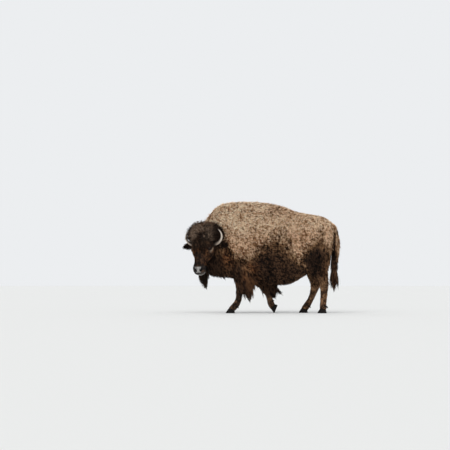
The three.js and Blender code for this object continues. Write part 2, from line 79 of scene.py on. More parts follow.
# Each kind of coat: its depth below the tips, and rounds of smoothing of the skin under it.
DEPTH = {
    "wool": (0.013, 280), "mane": (0.013, 110), "face": (0.007, 9), "muzzle": (0.003, 6),
    "crown": (0.004, 12), "thigh": (0.009, 60), "arm": (0.009, 24), "shank": (0.002, 9), "dock": (0.012, 10),
    "switch": (0.003, 10), "chaps": (0.003, 14), "beard": (0.003, 14), "ear": (0.0025, 3),
}
KINDS = list(DEPTH)
FLESH = {
    "trunk": "wool", "neck": "mane", "head": "face", "lower_jaw": "face", "tail": "dock",
    "left_foreleg_upper": "arm", "right_foreleg_upper": "arm",
    "left_hindleg_upper": "thigh", "right_hindleg_upper": "thigh",
    "left_foreleg_lower": "shank", "right_foreleg_lower": "shank",
    "left_hindleg_lower": "shank", "right_hindleg_lower": "shank",
}
# The hair masses are dense wool on a core of flesh: each is drawn in to a share of its size, towards a point
# in its box.
CORES = {
    "bonnet": ("crown", (0.5, 0.5, 0.36), 0.84),
    "beard": ("beard", (0.5, 0.5, 0.94), 0.66),
    "left_fore_chaps": ("chaps", (0.45, 0.5, 0.86), 0.62),
    "right_fore_chaps": ("chaps", (0.45, 0.5, 0.86), 0.74),
    "tail_tuft": ("switch", (0.5, 0.5, 0.94), 0.62),
}


def unit(vectors):
    return vectors / np.maximum(np.linalg.norm(vectors, axis=-1, keepdims=True), 1e-9)


def fade(x, low, high):
    """0 at low, 1 at high, and smooth between them."""
    t = np.clip((x - low) / (high - low), 0, 1)
    return t * t * (3 - 2 * t)


def bell(distance, width):
    return np.exp(-((distance / width) ** 2))


def corners(node):
    return tuple(np.array(corner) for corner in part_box(node))


def middle_of(node):
    return sum(corners(node)) / 2


# The head's own axes, from the point between the eyes: down the face, to her right, and out of the forehead.
FACE_SLOPE = math.radians(66)
EYE_RADIUS = np.ptp(corners("left_eye"), axis=0)[2] / 2
EYE_IN_HEAD = np.array((0.018, 0.139, 0.008))  # her right eye
rightward = unit(middle_of("right_eye") - middle_of("left_eye"))
ahead = unit(np.cross((0, 0, 1), rightward))
upward = np.cross(rightward, ahead)
down_face = ahead * math.cos(FACE_SLOPE) - upward * math.sin(FACE_SLOPE)
out_of_face = np.cross(rightward, down_face)
head_axes = np.stack([down_face, rightward, out_of_face])
brow_point = (middle_of("left_eye") + middle_of("right_eye")) / 2 - EYE_IN_HEAD * (1, 0, 1) @ head_axes


def in_head(points):
    return (points - brow_point) @ head_axes.T


def folded(places):
    """Places in the head with those on her left carried over to her right."""
    return np.stack([places[:, 0], np.abs(places[:, 1]), places[:, 2]], axis=1)


def arrays_of(work):
    """The points, outward point normals and faces of a mesh that is done with."""
    work.normal_update()
    points = np.array([v.co for v in work.verts])
    normals = np.array([v.normal for v in work.verts])
    faces = np.array([[v.index for v in f.verts] for f in work.faces])
    work.free()
    return points, normals, faces


def shape_of(node):
    """A solid's points, outward point normals and triangles."""
    work = bmesh.new()
    work.from_mesh(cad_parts[node].data)
    bmesh.ops.remove_doubles(work, verts=work.verts, dist=1e-5)
    bmesh.ops.triangulate(work, faces=work.faces)
    return arrays_of(work)


def ball_of(fineness):
    """The points and triangles of a ball of radius 1."""
    work = bmesh.new()
    bmesh.ops.create_icosphere(work, subdivisions=fineness, radius=1)
    points, _, faces = arrays_of(work)
    return points, faces


def mesh_of(name, points, faces):
    """A smooth-shaded mesh from an array of points and one of faces with equal numbers of corners."""
    mesh = bpy.data.meshes.new(name)
    count, sides = faces.shape
    mesh.vertices.add(len(points))
    mesh.vertices.foreach_set("co", points.astype(np.float32).ravel())
    mesh.loops.add(count * sides)
    mesh.loops.foreach_set("vertex_index", faces.astype(np.int32).ravel())
    mesh.polygons.add(count)
    mesh.polygons.foreach_set("loop_start", np.arange(0, count * sides, sides, dtype=np.int32))
    mesh.polygons.foreach_set("use_smooth", np.ones(count, bool))
    mesh.update(calc_edges=True)
    return mesh


def placed(name, mesh):
    made = bpy.data.objects.new(name, mesh)
    bpy.context.scene.collection.objects.link(made)
    return made


def numbers(items, field, width, kind=np.float32):
    """One field of a mesh's vertices, edges or faces, as rows."""
    found = np.empty(len(items) * width, kind)
    items.foreach_get(field, found)
    return (found.astype(float) if kind is np.float32 else found).reshape(-1, width)


def points_of(mesh):
    return numbers(mesh.vertices, "co", 3)


def edges_of(mesh):
    return numbers(mesh.edges, "vertices", 2, np.int32)


def moved(mesh, points):
    """Puts a mesh's points at new places, and gives its normals there."""
    mesh.vertices.foreach_set("co", points.astype(np.float32).ravel())
    mesh.update()
    return numbers(mesh.vertices, "normal", 3)


def modified(name, mesh, kind, **settings):
    """A mesh put through one modifier."""
    before = placed(name, mesh)
    change = before.modifiers.new("change", kind)
    for setting, value in settings.items():
        setattr(change, setting, value)
    shown = bpy.context.evaluated_depsgraph_get()
    after = bpy.data.meshes.new_from_object(before.evaluated_get(shown), depsgraph=shown)
    bpy.data.objects.remove(before)
    after.name = name
    return after


def spread(values, edges):
    """The mean of each point's neighbours, for rows of values."""
    count, (here, there) = len(values), edges.T
    sums = [np.bincount(here, row[there], count) + np.bincount(there, row[here], count) for row in values.T]
    return np.stack(sums, axis=1) / np.maximum(np.bincount(edges.ravel(), minlength=count), 1)[:, None]


def smoothed(values, edges, rounds):
    """Rows of values, each taken halfway to its neighbours' mean for its own number of rounds."""
    rounds = np.broadcast_to(rounds, len(values))
    for turn in range(int(rounds.max())):
        part = np.clip(rounds - turn, 0, 1)[:, None] / 2
        values = values + part * (spread(values, edges) - values)
    return values


def joined(shapes):
    """Several shapes as one: its points, its faces, and the number of the shape that each face is from."""
    starts = np.cumsum([0] + [len(points) for points, _ in shapes])
    points = np.concatenate([points for points, _ in shapes])
    faces = np.concatenate([faces + start for (_, faces), start in zip(shapes, starts)])
    return points, faces, np.repeat(np.arange(len(shapes)), [len(faces) for _, faces in shapes])


def fused(name, shapes, voxel):
    """One closed mesh round several shapes that overlap."""
    points, faces, _ = joined(shapes)
    return modified(name, mesh_of(name, points, faces), "REMESH", mode="VOXEL", voxel_size=voxel)


def surface_of(shapes):
    """The surface of several shapes, to find the nearest place on, and the shape of each of its faces."""
    points, faces, whose = joined(shapes)
    return BVHTree.FromPolygons(points.tolist(), faces.tolist()), whose


flesh_shapes = []
for node in FLESH:
    points, normals, triangles = shape_of(node)
    flesh_shapes.append((points + normals * OVERLAP, triangles))
for node, (_, anchor, share) in CORES.items():
    points, _, triangles = shape_of(node)
    low, high = corners(node)
    middle = low + np.array(anchor) * (high - low)
    flesh_shapes.append((middle + (points - middle) * share, triangles))
# A boss of bone under the skin carries each horn.
HORN_ROOT = (0.122, 0.052, -0.104)  # across, up and forward of the point between the eyes
BOSS = (0.040, 0.036, 0.040)
boss_points, boss_faces = ball_of(3)
for side in (-1, 1):
    boss = brow_point + HORN_ROOT * np.array((side, 1, 1)) @ np.stack([rightward, upward, ahead])
    flesh_shapes.append((boss + boss_points * BOSS, boss_faces))
hide = fused("skin", flesh_shapes, VOXEL)

# Each ear is a cupped leaf of gristle with thin edges, made finer than the rest and then let into the head.
EAR_VOXEL = 0.0036
EAR_ROUNDS = 9
for ear in ("left_ear", "right_ear"):
    points, _, triangles = shape_of(ear)
    flesh_shapes.append((points, triangles))
    leaf = fused(ear, flesh_shapes[-1:], EAR_VOXEL)
    moved(leaf, smoothed(points_of(leaf), edges_of(leaf), EAR_ROUNDS))
    leaf_piece = placed(ear + "_leaf", leaf)
    hide = modified("skin", hide, "BOOLEAN", operation="UNION", solver="MANIFOLD", object=leaf_piece)
    bpy.data.objects.remove(leaf_piece)


# The head is worked finer than the body, and its eyes and muzzle finer again.
def near_eye(points, reach):
    return np.linalg.norm(folded(in_head(points)) - EYE_IN_HEAD, axis=1) < reach


def on_face(points):
    down, across, out = folded(in_head(points)).T
    return (np.abs(down - 0.10) < 0.33) & (across < 0.185) & (out > -0.24) & (out < 0.12)


def on_features(points):
    down, across, out = folded(in_head(points)).T
    return on_face(points) & (near_eye(points, 0.062) | (down > 0.255) & (across < 0.12) & (out > -0.14))


def on_lids(points):
    return near_eye(points, 0.036)


for inside in (on_face, on_features, on_lids):
    work = bmesh.new()
    work.from_mesh(hide)
    chosen = inside(points_of(hide))
    edges = [e for e in work.edges if chosen[e.verts[0].index] and chosen[e.verts[1].index]]
    bmesh.ops.subdivide_edges(work, edges=edges, cuts=1, use_grid_fill=True)
    bmesh.ops.triangulate(work, faces=work.faces)
    work.to_mesh(hide)
    work.free()

# Each point of the skin bears the kind of coat of the nearest solid, blended over a few centimetres.
BLEND_ROUNDS = 12
skin_edges, skin_points = edges_of(hide), points_of(hide)
flesh, whose = surface_of(flesh_shapes)
nearest = np.array([flesh.find_nearest(p)[2] for p in skin_points.tolist()])
shape_kinds = [*FLESH.values(), *(kind for kind, _, _ in CORES.values()), "crown", "crown", "ear", "ear"]
kind_of = np.array([KINDS.index(kind) for kind in shape_kinds])[whose[nearest]]
kind_shares = smoothed(np.eye(len(KINDS))[kind_of], skin_edges, BLEND_ROUNDS)


def share_of(shares, *kinds):
    return shares[:, [KINDS.index(kind) for kind in kinds]].sum(axis=1)


def hand_over(giver, taker, part):
    """Lets a part of one kind of coat count as another, point by point."""
    given = kind_shares[:, KINDS.index(giver)] * part
    kind_shares[:, KINDS.index(taker)] += given
    kind_shares[:, KINDS.index(giver)] -= given


h = in_head(skin_points)
hand_over("face", "muzzle", fade(h[:, 0] + 0.9 * np.abs(h[:, 1]) ** 1.5, 0.262, 0.315))

# The skin is evened, gets back what evening took from it, and then sinks by the depth of its coat.
THROAT_DEPTH = 0.030  # of the longer hair under the neck
depth_of, rounds_of = (np.array([DEPTH[kind][k] for kind in KINDS]) for k in (0, 1))
depths, rounds = kind_shares @ depth_of, kind_shares @ rounds_of
depths += THROAT_DEPTH * share_of(kind_shares, "mane") * (1 - fade(skin_points[:, 2], 0.60, 0.70))
evened = smoothed(skin_points, skin_edges, rounds)
evened_normals = moved(hide, evened)
shrunk = ((skin_points - evened) * evened_normals).sum(axis=1, keepdims=True)
skin_points = evened + evened_normals * smoothed(shrunk, skin_edges, 0.6 * rounds)


def raised(points, height):
    """The skin's points moved out along its normals, each by its own height."""
    return points + moved(hide, points) * height[:, None]


skin_points = smoothed(raised(skin_points, -depths), skin_edges, 2)

# The face's bones and muscles: brow over the eye, crest below it, hollow cheek, jaw muscle and nasal bone.
# Each is a place in the head's axes on her right side, its width, and how far it stands out.
FACE_FORMS = [
    ((0.010, 0.140, 0.000), 0.060, 0.011),
    ((-0.026, 0.138, 0.050), 0.030, 0.007),
    ((0.040, 0.140, 0.040), 0.020, -0.003),
    ((0.085, 0.120, -0.004), 0.034, 0.006),
    ((0.130, 0.098, 0.022), 0.036, -0.006),
    ((0.175, 0.096, -0.060), 0.045, -0.008),
    ((0.060, 0.128, -0.120), 0.070, 0.008),
    ((0.250, 0.0, 0.036), 0.060, 0.003),
    ((0.300, 0.082, -0.020), 0.030, 0.006),
    ((0.362, 0.0, -0.104), 0.034, 0.008),
]
face_share = fade(share_of(kind_shares, "face", "muzzle"), 0.2, 0.9)
place = folded(in_head(skin_points))
rise = sum(bell(np.linalg.norm(place - form, axis=1), width) * height for form, width, height in FACE_FORMS)
skin_points = raised(skin_points, rise * face_share)

# The lips: a groove round the muzzle where the mouth shuts, with the upper lip standing over it. It rises
# under the nose pad. Each form lies at a level from the groove and has its width and height.
MOUTH_LEVEL, MOUTH_CORNER = -0.076, 0.245
LIP_FORMS = ((0.0, 0.0060, -0.0130), (0.015, 0.010, 0.004), (-0.018, 0.012, 0.002))
down, _, out = in_head(skin_points).T
along_mouth = fade(down, MOUTH_CORNER - 0.02, MOUTH_CORNER + 0.03) * face_share
level = out - MOUTH_LEVEL - 0.030 * fade(down, 0.29, 0.385)
lips = sum(height * bell(level - place, width) for place, width, height in LIP_FORMS)
skin_points = raised(skin_points, lips * along_mouth)

# Each nostril is a slanting comma, sunk well into the corner of the nose pad, with a raised wing round it.
NOSTRIL = np.array(((0.346, 0.036), (0.336, 0.046), (0.322, 0.055), (0.307, 0.058)))  # down the face, and out
NOSTRIL_WIDTH, NOSTRIL_DEPTH = 0.0135, 0.030
WING_HEIGHT, PHILTRUM_DEPTH = 0.0045, 0.0035
h = in_head(skin_points)
place = folded(h)[:, :2]
slit = np.full(len(h), 9.0)
for i, (start, way) in enumerate(zip(NOSTRIL, np.diff(NOSTRIL, axis=0))):
    t = np.clip(((place - start) @ way) / (way @ way), 0, 1)
    width = NOSTRIL_WIDTH - 0.0024 * (i + t)
    slit = np.minimum(slit, np.linalg.norm(place - start - t[:, None] * way, axis=1) - width)
front = fade(h[:, 2], -0.07, -0.05) * fade(h[:, 0], 0.28, 0.29)
inward = -(NOSTRIL_DEPTH * (1 - fade(slit, -0.006, 0.0015)))
wing = WING_HEIGHT * bell(slit - 0.0065, 0.005)
philtrum = -PHILTRUM_DEPTH * bell(h[:, 1], 0.003) * fade(h[:, 0], 0.335, 0.35)
push = (inward * np.array((0.35, 0, 0.9))[:, None]).T * (front * face_share)[:, None]
skin_points = raised(skin_points + push @ head_axes, (wing * front + philtrum) * face_share)
skin_points = smoothed(skin_points, skin_edges, 2.0 * (h[:, 0] > 0.26) * face_share)

# The lids lie close on the eyeball and leave an almond between them, its inner corner towards the nose. They
# are rolled over at its edge, and inside it the skin drops behind the ball.
LID = 0.0032
ALMOND = (0.0185, 0.0108)
SOCKET = 0.025  # how far round the eye the lids reach
LID_TURN = math.radians(80)  # how far round the ball that is
GAZE = np.array((0.04, 0.93, 0.36))  # of her right eye, in the head's axes
TO_NOSE = np.array((0.50, 0.0, 0.86))
for side in (-1, 1):
    look = unit(GAZE * (1, side, 1))
    slant = unit(TO_NOSE - look * (TO_NOSE @ look))
    eye_axes = np.stack([slant, np.cross(look, slant), look])
    eye = EYE_IN_HEAD * (1, side, 1)
    v = (in_head(skin_points) - eye) @ eye_axes.T
    off_axis = np.hypot(v[:, 0], v[:, 1])
    near = (off_axis < 2 * SOCKET) & (np.abs(v[:, 2]) < 0.06) & (face_share > 0.1)
    v, off_axis = v[near], off_axis[near]
    turn = np.minimum(off_axis / SOCKET, 1) * LID_TURN
    bearing = v[:, :2] / np.maximum(off_axis, 1e-6)[:, None]
    facing = np.column_stack([bearing * np.sin(turn)[:, None], np.cos(turn)])
    over_eye = facing * (EYE_RADIUS + LID)
    opening = np.hypot(over_eye[:, 0] / ALMOND[0], over_eye[:, 1] / ALMOND[1])
    crease = 0.0006 * bell(opening - 1.28, 0.16) - 0.0014 * bell(opening - 1.62, 0.12)
    radius = np.where(opening > 1.1, EYE_RADIUS + LID + crease, EYE_RADIUS + 0.0010)
    radius = np.where(opening < 0.88, EYE_RADIUS - 0.004, radius)
    onto = facing * radius[:, None]
    on_rim = (opening > 0.88) & (opening < 1.12)
    onto[on_rim, :2] /= opening[on_rim, None]
    lid = 1 - fade(off_axis, 0.92 * SOCKET, 1.9 * SOCKET)
    v = v + (onto - v) * lid[:, None]
    skin_points[near] = brow_point + (eye + v @ eye_axes) @ head_axes
skin_normals = moved(hide, skin_points)
skin = placed("skin", hide)

# The top of the neck bears the same wool as the hump.
hand_over("mane", "wool", fade(skin_points[:, 2], 0.98, 1.12))

# An unwrap of the skin's own shape, which the coat shares.
skin.select_set(True)
bpy.context.view_layer.objects.active = skin
bpy.ops.object.mode_set(mode="EDIT")
bpy.ops.mesh.select_all(action="SELECT")
bpy.ops.uv.smart_project(angle_limit=math.radians(70), island_margin=0.001)
bpy.ops.object.mode_set(mode="OBJECT")
hide.uv_layers[0].name = "OFBake"
hide.calc_loop_triangles()
skin_triangles = numbers(hide.loop_triangles, "vertices", 3, np.int32)
triangle_loops = numbers(hide.loop_triangles, "loops", 3, np.int32)
skin_uv = numbers(hide.uv_layers["OFBake"].data, "uv", 2)

# Markings, the same on the skin and on the coat. The woolly upper body is pale down to an edge that dips
# behind the shoulder and climbs over the rump; below it, and on the head, she is nearly black.
PALE_EDGE = np.array([
    (-0.95, 1.20), (-0.80, 1.13), (-0.67, 1.08), (-0.58, 1.03), (-0.51, 0.98), (-0.46, 0.93), (-0.40, 0.86),
    (-0.32, 0.84), (-0.23, 0.86), (-0.18, 0.88), (-0.06, 0.95), (0.0, 1.02), (0.06, 1.06), (0.14, 1.07),
    (0.20, 1.06), (0.28, 1.06), (0.34, 1.06), (0.40, 1.01), (0.445, 0.97), (0.47, 0.90), (0.50, 0.82),
    (0.53, 0.80), (0.58, 0.86), (0.62, 0.93), (0.67, 1.00), (0.74, 1.09), (0.82, 1.10), (0.87, 1.08),
    (0.92, 1.05), (1.0, 1.02), (1.1, 1.00),
])  # fore and aft, and up
TAIL_REAR = (0.70, 0.94, 1.17, 1.30), (1.05, 1.075, 1.07, 1.00)  # heights, and where its pale back starts
# Soft-edged patches on the sides: the middle fore and aft with its reach, and the middle up with its reach.
PATCHES = {
    "stifle": (0.42, 0.13, 0.88, 0.13), "saddle": (0.17, 0.20, 1.50, 0.11), "hock": (0.98, 0.09, 0.64, 0.14),
    "elbow": (-0.18, 0.10, 0.59, 0.15), "thigh": (0.74, 0.13, 0.80, 0.22), "girth": (0.05, 0.25, 0.62, 0.14),
}
EAR_IN_HEAD = in_head(middle_of("right_ear")[None])[0]
# Light streaks of hair beside the eye: the ends of each on her right side, and its width.
TEMPLE_STREAK = (-0.018, 0.143, -0.034), (0.030, 0.143, -0.016), 0.020
LID_STREAK = (0.040, 0.130, 0.020), (0.036, 0.142, -0.010), 0.010


def edge_at(x):
    return np.interp(x, PALE_EDGE[:, 0], PALE_EDGE[:, 1])


def waves(points, size, seed):
    """A smooth random value from about -1 to 1 at each point, with lumps of about a given size."""
    draw = np.random.default_rng(seed)
    total = np.zeros(len(points))
    for _ in range(10):
        way = unit(draw.normal(size=3)) * draw.uniform(0.7, 1.5) * math.pi / size
        total += np.sin(points @ way + draw.uniform(0, 2 * math.pi))
    return total / 3.2


def streak(points, start, end, width):
    """1 along a line between two places, and fading off it."""
    start, way = np.array(start), np.array(end) - np.array(start)
    t = np.clip((points - start) @ way / (way @ way), 0, 1)
    return bell(np.linalg.norm(points - start - t[:, None] * way, axis=1), width)


def markings(points, shares):
    """Two rows for each point: how pale, rusty and brown it is, and how black, grizzled and bleached."""
    x, _, z = points.T
    h = folded(in_head(points))
    down, across, out = h.T
    part = lambda *kinds: share_of(shares, *kinds)
    patch = {name: bell(x - a, b) * bell(z - c, d) for name, (a, b, c, d) in PATCHES.items()}
    near_ear = bell(np.linalg.norm(h - EAR_IN_HEAD, axis=1), 0.070)
    off_head = 1 - part("face", "muzzle", "crown", "ear", "beard")
    middle_brow = 1 - fade(across, 0.09, 0.15)

    # The edge is ragged, and sharper where the wool of the shoulder ends over the arm.
    ragged = 0.05 * waves(points, 0.20, 1) + 0.03 * waves(points, 0.07, 2)
    breadth = 1 - 0.45 * fade(-x, 0.18, 0.36) * (1 - fade(-x, 0.44, 0.56))
    pale = (1 - 0.9 * near_ear) * fade((z - edge_at(x) + ragged) / breadth, -0.23, 0.22)
    pale = pale * off_head * (1 - part("chaps", "switch"))
    # A pale fold runs down to the flank, and the stifle, the hams and the back of the tail are paler too.
    fold = bell((z - 0.785) + (x - 0.551) * 1.556, 0.030) * fade(x, 0.48, 0.54) * fade(0.72 - x, 0.0, 0.05)
    pale = np.maximum(pale, 0.34 * fold * (z < 0.90))
    pale += 0.26 * patch["stifle"] * (1 - pale)
    pale += 0.24 * fade(x, 0.90, 1.0) * fade(z, 0.45, 0.62) * (1 - pale) * (1 - part("switch", "dock"))
    rear = fade(x - np.interp(z, *TAIL_REAR), -0.018, 0.022)
    pale += part("dock") * (np.maximum(0.62 * rear * fade(z, 0.72, 1.0), fade(z, 1.20, 1.29)) - pale)
    pale -= 0.22 * patch["saddle"]

    # Rust lies in streaks down the neck, over the elbow and the hock, and on the cheek.
    streaks = waves(points * (1, 1, 0.28), 0.040, 3)
    neck = fade(-x, 0.30, 0.42) * fade(x, -0.64, -0.54) * fade(z, 0.60, 0.80)
    cheek = bell(across - 0.105, 0.025) * fade(down, 0.03, 0.1)
    rust = neck * (0.72 + 0.45 * streaks) * off_head
    rust += 0.5 * patch["hock"]
    rust += 0.85 * patch["elbow"] * (1 + 0.6 * streaks)
    rust += 0.5 * part("arm") * bell(x + 0.22, 0.08) * fade(z, 0.35, 0.55)
    rust += part("face") * (0.14 + 0.24 * waves(points, 0.04, 4) + 0.35 * cheek)
    # The shanks are a plainer brown, the hind ones more so.
    shank = fade(x, 0.40, 0.50) * (1 - fade(z, 0.38, 0.62))
    shank += 0.35 * fade(0.40 - x, 0, 0.1) * (1 - fade(z, 0.20, 0.30))

    # Black are the ears, beard, chaps and throat, the sides of the face and bonnet, the thigh and the girth.
    chin = fade(down, 0.22, 0.30) * fade(-out, 0.03, 0.08)
    jowl = fade(across, 0.112, 0.135) * fade(down, 0.04, 0.12)
    black = part("ear", "beard") + 0.9 * near_ear * part("mane", "wool", "crown", "face")
    black += 0.75 * part("mane") * (1 - fade(x, -0.63, -0.53) * fade(z, 0.68, 0.80))
    black += 0.65 * part("chaps") + 0.5 * part("muzzle", "switch")
    black += 0.50 * part("arm") * (1 - bell(x + 0.20, 0.08))
    black += 0.3 * part("face") * (1 - fade(down, -0.02, 0.05))
    black += part("face", "muzzle") * (0.40 - 0.25 * waves(points, 0.05, 5) + 0.6 * chin + 0.4 * jowl)
    black += part("crown") * (0.12 + 0.9 * fade(across, 0.09, 0.14) + 0.4 * fade(down, -0.12, -0.04))
    # The front of the tail is black: dark hair, with painted shade in the crease against the buttocks.
    black += 0.7 * part("dock") * (1 - rear) + 0.9 * patch["thigh"] + 0.4 * patch["girth"]

    # Grey tips stand on the bonnet, and a light streak lies behind the eye and one under it.
    temple = streak(h, *TEMPLE_STREAK) * part("face", "crown")
    grizzle = part("crown") * middle_brow * (0.14 + 0.46 * bell(down + 0.17, 0.10))
    grizzle += 2.4 * temple + 0.7 * streak(h, *LID_STREAK) * part("face")
    grizzle += 0.10 * part("face") * (1 - fade(down, -0.055, -0.005)) * middle_brow
    black = black * (1 - temple)
    bleached = fade(z + 0.04 * waves(points, 0.3, 6), 0.98, 1.32) - 0.9 * patch["saddle"]
    bleached -= 0.35 * fade(x, 0.15, 0.45)
    rows = np.stack([pale, rust, shank], axis=1), np.stack([black, grizzle, bleached], axis=1)
    return [np.clip(row, 0, 1) for row in rows]


# The lie of the coat: back and down the body, down the legs, away from the whorl on the brow.
WHORL = brow_point + 0.16 * upward - 0.02 * ahead
SWIRL, SWIRL_SIZE = 0.16, 0.22
place = folded(in_head(skin_points))
down, across, out = place.T
sides = np.sign((skin_points - brow_point) @ rightward)[:, None]
lies = {
    "wool": (0.80, 0, -0.62), "mane": (0.42, 0, -0.85), "thigh": (0.30, 0, -1), "arm": (0.34, 0, -1),
    "shank": (0.10, 0, -1), "dock": (0.05, 0, -1), "switch": (0, 0, -1), "chaps": (0.26, 0, -1),
    "beard": (-0.06, 0, -1),
    "face": down_face + sides * rightward * 0.25 - out_of_face * 0.35 * fade(across[:, None], 0.06, 0.13),
    "muzzle": down_face * 0.5 + sides * rightward * 0.4 - out_of_face * 0.8,
    "crown": unit(skin_points - WHORL) + 0.25 * ahead - 0.35 * upward,
    "ear": sides * rightward + 0.1 * ahead - 0.25 * upward,
}
lie = sum(kind_shares[:, [k]] * np.broadcast_to(lies[kind], place.shape) for k, kind in enumerate(KINDS))
swirl = np.stack([waves(skin_points, SWIRL_SIZE, seed) for seed in (11, 12, 13)], axis=1)
lie = smoothed(unit(lie) + SWIRL * swirl, skin_edges, 8)
lie = unit(lie - skin_normals * (lie * skin_normals).sum(axis=1, keepdims=True))


def add_rows(mesh, name, rows):
    made = mesh.attributes.new(name, "FLOAT_VECTOR", "POINT")
    made.data.foreach_set("vector", rows.astype(np.float32).ravel())


for name, rows in zip(("markings", "shades"), markings(skin_points, kind_shares)):
    add_rows(hide, name, rows)
fine, coarse = (0.5 + 0.5 * waves(skin_points, size, seed) for size, seed in ((0.012, 21), (0.05, 22)))
add_rows(hide, "lock", np.column_stack([fine, coarse, np.zeros(len(hide.vertices))]))

# Bare skin: the nose pad and the lower lip, painted shade inside the nostrils and along the shut mouth, and
# the rims of the lids.
pad_width = 0.050 - 0.016 * fade(down, 0.33, 0.37)
bare_pad = fade(down, 0.296, 0.306) * (1 - fade(across - pad_width, -0.006, 0.010))
bare_pad = bare_pad * (level > 0.008) * (out < 0.05)
lip = fade(down, 0.34, 0.36) * bell(out + 0.082, 0.018)
nostril_shade = (1 - fade(slit, -0.001, 0.003)) * front * face_share
mouth_shade = bell(level, 0.0052) * along_mouth
rim = 1 - fade(np.linalg.norm(place - EYE_IN_HEAD, axis=1), 0.0235, 0.0275)
add_rows(hide, "bare", np.column_stack([np.clip(bare_pad + lip, 0, 1), np.maximum(nostril_shade, mouth_shade), rim]))


class Value:
    """A shader value. Arithmetic on it adds the Math nodes that work it out."""

    def __init__(self, finish, socket):
        self.finish, self.socket = finish, socket

    def math(self, operation, *others, **settings):
        sockets = dict(enumerate((self, *others)))
        return self.finish.node("ShaderNodeMath", {"operation": operation, **settings}, sockets)

    def __add__(self, other):
        return self.math("ADD", other)

    def __mul__(self, other):
        return self.math("MULTIPLY", other)

    __radd__, __rmul__ = __add__, __mul__

    def __sub__(self, other):
        return self.math("SUBTRACT", other)

    def __rsub__(self, other):
        return self.finish.node("ShaderNodeMath", {"operation": "SUBTRACT"}, {0: other, 1: self})

    def __pow__(self, power):
        return self.math("POWER", power)

    def held(self):
        """Kept between 0 and 1."""
        return self.math("ADD", 0.0, use_clamp=True)


def tone(red, green, blue):
    """A colour from its three parts of 255, as a screen shows it."""
    parts = (part / 255 for part in (red, green, blue))
    return tuple(part / 12.92 if part <= 0.04 else ((part + 0.055) / 1.055) ** 2.4 for part in parts)


class Finish:
    """The nodes of a material or of the air: one method adds any node, and the others are what recurs."""

    def __init__(self, owner, surface="Principled BSDF"):
        self.material = owner
        owner.use_nodes = True
        self.nodes, self.links = owner.node_tree.nodes, owner.node_tree.links
        self.surface = self.nodes[surface]

    def feed(self, made, sockets):
        for socket, value in sockets.items():
            if isinstance(value, Value):
                self.links.new(value.socket, made.inputs[socket])
            elif isinstance(value, tuple) and made.inputs[socket].type == "RGBA":
                made.inputs[socket].default_value = (*value, 1)
            else:
                made.inputs[socket].default_value = value

    def node(self, kind, settings, sockets, out=0):
        made = self.nodes.new(kind)
        for setting, value in settings.items():
            if setting == "stops":
                for place, _ in value[1:-1]:
                    made.color_ramp.elements.new(place)
                for element, (place, colour) in zip(made.color_ramp.elements, value):
                    element.position, element.color = place, (*colour, 1)
            else:
                setattr(made, setting, value)
        self.feed(made, sockets)
        return Value(self, made.outputs[out])

    def mix(self, share, first, second):
        return self.node("ShaderNodeMix", {"data_type": "RGBA"}, {0: share, 6: first, 7: second}, out=2)

    def ramp(self, share, tones):
        """A colour that runs from tone to tone, each given with its place from 0 to 1."""
        stops = [(place, tone(*parts)) for place, parts in tones]
        return self.node("ShaderNodeValToRGB", {"stops": stops}, {0: share})

    def place(self):
        return self.node("ShaderNodeTexCoord", {}, {}, out="Object")

    def noise(self, scale, detail=3.0, place=None):
        sockets = {"Vector": place or self.place(), "Scale": scale, "Detail": detail, "Roughness": 0.55}
        return self.node("ShaderNodeTexNoise", {}, sockets)

    def rows(self, attribute):
        """The three values of a stored row."""
        row = self.node("ShaderNodeAttribute", {"attribute_name": attribute}, {}, out="Vector")
        return [self.node("ShaderNodeSeparateXYZ", {}, {0: row}, out=k) for k in range(3)]

    def bump(self, height, distance):
        sockets = {"Height": height, "Distance": distance, "Strength": 1.0}
        self.feed(self.surface, {"Normal": self.node("ShaderNodeBump", {}, sockets)})


# The tones of the coat from its shaded roots to its lit tips, with the places between them.
LIGHTNESS = (0.0, 0.33, 0.66, 1.0)
COAT_TONES = {
    "bleached": ((106, 69, 43), (186, 142, 105), (244, 208, 170), (255, 238, 210)),
    "tan": ((72, 43, 26), (148, 104, 71), (206, 160, 122), (248, 216, 182)),
    "brown": ((30, 18, 11), (70, 47, 31), (116, 83, 57), (172, 132, 96)),
    "dark": ((3, 1, 1), (16, 9, 5), (46, 30, 21), (108, 79, 59)),
    "rusty": ((28, 13, 7), (78, 44, 26), (128, 78, 47), (176, 122, 80)),
}


